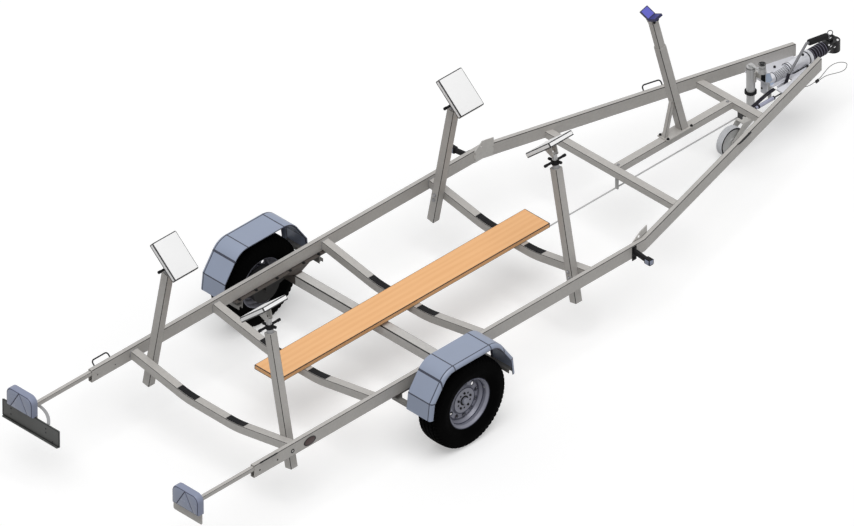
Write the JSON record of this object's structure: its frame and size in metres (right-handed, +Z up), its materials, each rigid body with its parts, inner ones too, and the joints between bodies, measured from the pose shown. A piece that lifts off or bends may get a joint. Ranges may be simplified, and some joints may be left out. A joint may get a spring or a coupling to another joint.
{
  "type": "boat trailer",
  "caption": "Braked boat trailer: converging rail frame, bent cross members, keel plank, hull pads on poles, bow post, jockey wheel, coupling, lamp arms.",
  "frame": {"origin": "middle of the trailer's footprint box, on the ground", "axes": "+Y forward to the coupling, +X to the trailer's right, +Z up"},
  "size_m": [2.112, 6.76, 1.5773],
  "materials": {
    "galvanised": "hot dip galvanised steel",
    "axle_steel": "galvanised steel, darker",
    "black_steel": "black paint",
    "tyre": "black rubber",
    "rim": "silver grey paint",
    "guard": "blue grey plastic",
    "plank": "light brown wood",
    "pad": "white plastic",
    "bow_rubber": "blue rubber",
    "lamp": "blue grey plastic",
    "holder": "dark grey plastic",
    "rubber": "black rubber",
    "cast": "silver paint",
    "cable": "black coated wire rope"
  },
  "bodies": {
    "frame": {"rail_left": "galvanised", "rail_right": "galvanised", "kink_gussets": "galvanised", "cross_member_1": "galvanised", "cross_member_2": "galvanised", "cross_member_3": "galvanised", "cross_member_4": "galvanised", "front_frame": "galvanised", "keel_plank": "plank", "torsion_axle": "axle_steel", "swing_arms": "axle_steel", "mudguard_left": "guard", "mudguard_right": "guard", "mudguard_stays": "galvanised", "side_markers": "rubber", "lashing_bows": "black_steel", "pole_rear_left": "galvanised", "pole_rear_right": "galvanised", "pole_front_left": "galvanised", "pole_front_right": "galvanised", "star_nuts": "black_steel", "bow_post": "galvanised", "overrun_housing": "cast", "bellows": "rubber", "coupling_head": "black_steel", "jockey_clamp": "galvanised", "jockey_tube": "galvanised", "jockey_crank": "galvanised", "brake_linkage": "axle_steel", "breakaway_cable": "cable", "cable_ferrule": "cable"},
    "wheel_left": {"tyre_left": "tyre", "wheel_rim_left": "rim", "hub_drum_left": "axle_steel"},
    "wheel_right": {"tyre_right": "tyre", "wheel_rim_right": "rim", "hub_drum_right": "axle_steel"},
    "jockey_leg": {"jockey_leg": "galvanised"},
    "jockey_fork": {"jockey_fork": "galvanised"},
    "jockey_wheel": {"jockey_wheel": "rubber"},
    "handbrake_lever": {"handbrake_lever": "black_steel"},
    "bow_mast": {"bow_mast": "galvanised", "bow_block": "bow_rubber"},
    "spindle_rear_left": {"pad_spindle_rear_left": "galvanised"},
    "pad_rear_left": {"pad_hinge_rear_left": "galvanised", "hull_pad_rear_left": "pad"},
    "spindle_rear_right": {"pad_spindle_rear_right": "galvanised"},
    "pad_rear_right": {"pad_hinge_rear_right": "galvanised", "hull_pad_rear_right": "pad"},
    "spindle_front_left": {"pad_spindle_front_left": "galvanised"},
    "pad_front_left": {"pad_hinge_front_left": "galvanised", "hull_pad_front_left": "pad"},
    "spindle_front_right": {"pad_spindle_front_right": "galvanised"},
    "pad_front_right": {"pad_hinge_front_right": "galvanised", "hull_pad_front_right": "pad"},
    "lamp_arm_left": {"lamp_arm_left": "galvanised", "rear_lamp_left": "lamp", "plate_holder": "holder"},
    "lamp_arm_right": {"lamp_arm_right": "galvanised", "rear_lamp_right": "lamp"}
  },
  "joints": [
    {"name": "wheel_left_spin", "type": "hinge", "parent": "frame", "child": "wheel_left", "pos_m": [-0.95, -1.069, 0.325], "axis": [1, 0, 0], "continuous": true},
    {"name": "wheel_right_spin", "type": "hinge", "parent": "frame", "child": "wheel_right", "pos_m": [0.95, -1.069, 0.325], "axis": [1, 0, 0], "continuous": true},
    {"name": "jockey_leg_slide", "type": "slide", "parent": "frame", "child": "jockey_leg", "axis": [0, 0, 1], "range_m": [-0.02, 0.13]},
    {"name": "jockey_swivel", "type": "hinge", "parent": "jockey_leg", "child": "jockey_fork", "pos_m": [-0.074, 2.635, 0.216], "axis": [0, 0, 1], "continuous": true},
    {"name": "jockey_wheel_roll", "type": "hinge", "parent": "jockey_fork", "child": "jockey_wheel", "pos_m": [-0.074, 2.445, 0.106], "axis": [1, 0, 0], "continuous": true},
    {"name": "handbrake_pull", "type": "hinge", "parent": "frame", "child": "handbrake_lever", "pos_m": [0.066, 2.805, 0.407], "axis": [1, 0, 0], "range_deg": [0, 60]},
    {"name": "bow_mast_slide", "type": "slide", "parent": "frame", "child": "bow_mast", "axis": [0, -0.2718, 0.9624], "range_m": [-0.18, 0.17]},
    {"name": "spindle_rear_left_slide", "type": "slide", "parent": "frame", "child": "spindle_rear_left", "axis": [0.1893, 0, 0.9819], "range_m": [-0.01, 0.09]},
    {"name": "pad_rear_left_tilt", "type": "hinge", "parent": "spindle_rear_left", "child": "pad_rear_left", "pos_m": [-0.44846, -2.318, 1.33837], "axis": [0, 1, 0], "range_deg": [-35, 15]},
    {"name": "spindle_rear_right_slide", "type": "slide", "parent": "frame", "child": "spindle_rear_right", "axis": [-0.1893, 0, 0.9819], "range_m": [-0.01, 0.09]},
    {"name": "pad_rear_right_tilt", "type": "hinge", "parent": "spindle_rear_right", "child": "pad_rear_right", "pos_m": [0.44846, -2.318, 1.33837], "axis": [0, -1, 0], "range_deg": [-35, 15]},
    {"name": "spindle_front_left_slide", "type": "slide", "parent": "frame", "child": "spindle_front_left", "axis": [0.1893, 0, 0.9819], "range_m": [-0.01, 0.09]},
    {"name": "pad_front_left_tilt", "type": "hinge", "parent": "spindle_front_left", "child": "pad_front_left", "pos_m": [-0.44846, 0.277, 1.33837], "axis": [0, 1, 0], "range_deg": [-35, 15]},
    {"name": "spindle_front_right_slide", "type": "slide", "parent": "frame", "child": "spindle_front_right", "axis": [-0.1893, 0, 0.9819], "range_m": [-0.01, 0.09]},
    {"name": "pad_front_right_tilt", "type": "hinge", "parent": "spindle_front_right", "child": "pad_front_right", "pos_m": [0.44846, 0.277, 1.33837], "axis": [0, -1, 0], "range_deg": [-35, 15]},
    {"name": "lamp_arm_left_slide", "type": "slide", "parent": "frame", "child": "lamp_arm_left", "axis": [0, -1, 0], "range_m": [-0.4, 0.15]},
    {"name": "lamp_arm_right_slide", "type": "slide", "parent": "frame", "child": "lamp_arm_right", "axis": [0, -1, 0], "range_m": [-0.4, 0.15]}
  ]
}
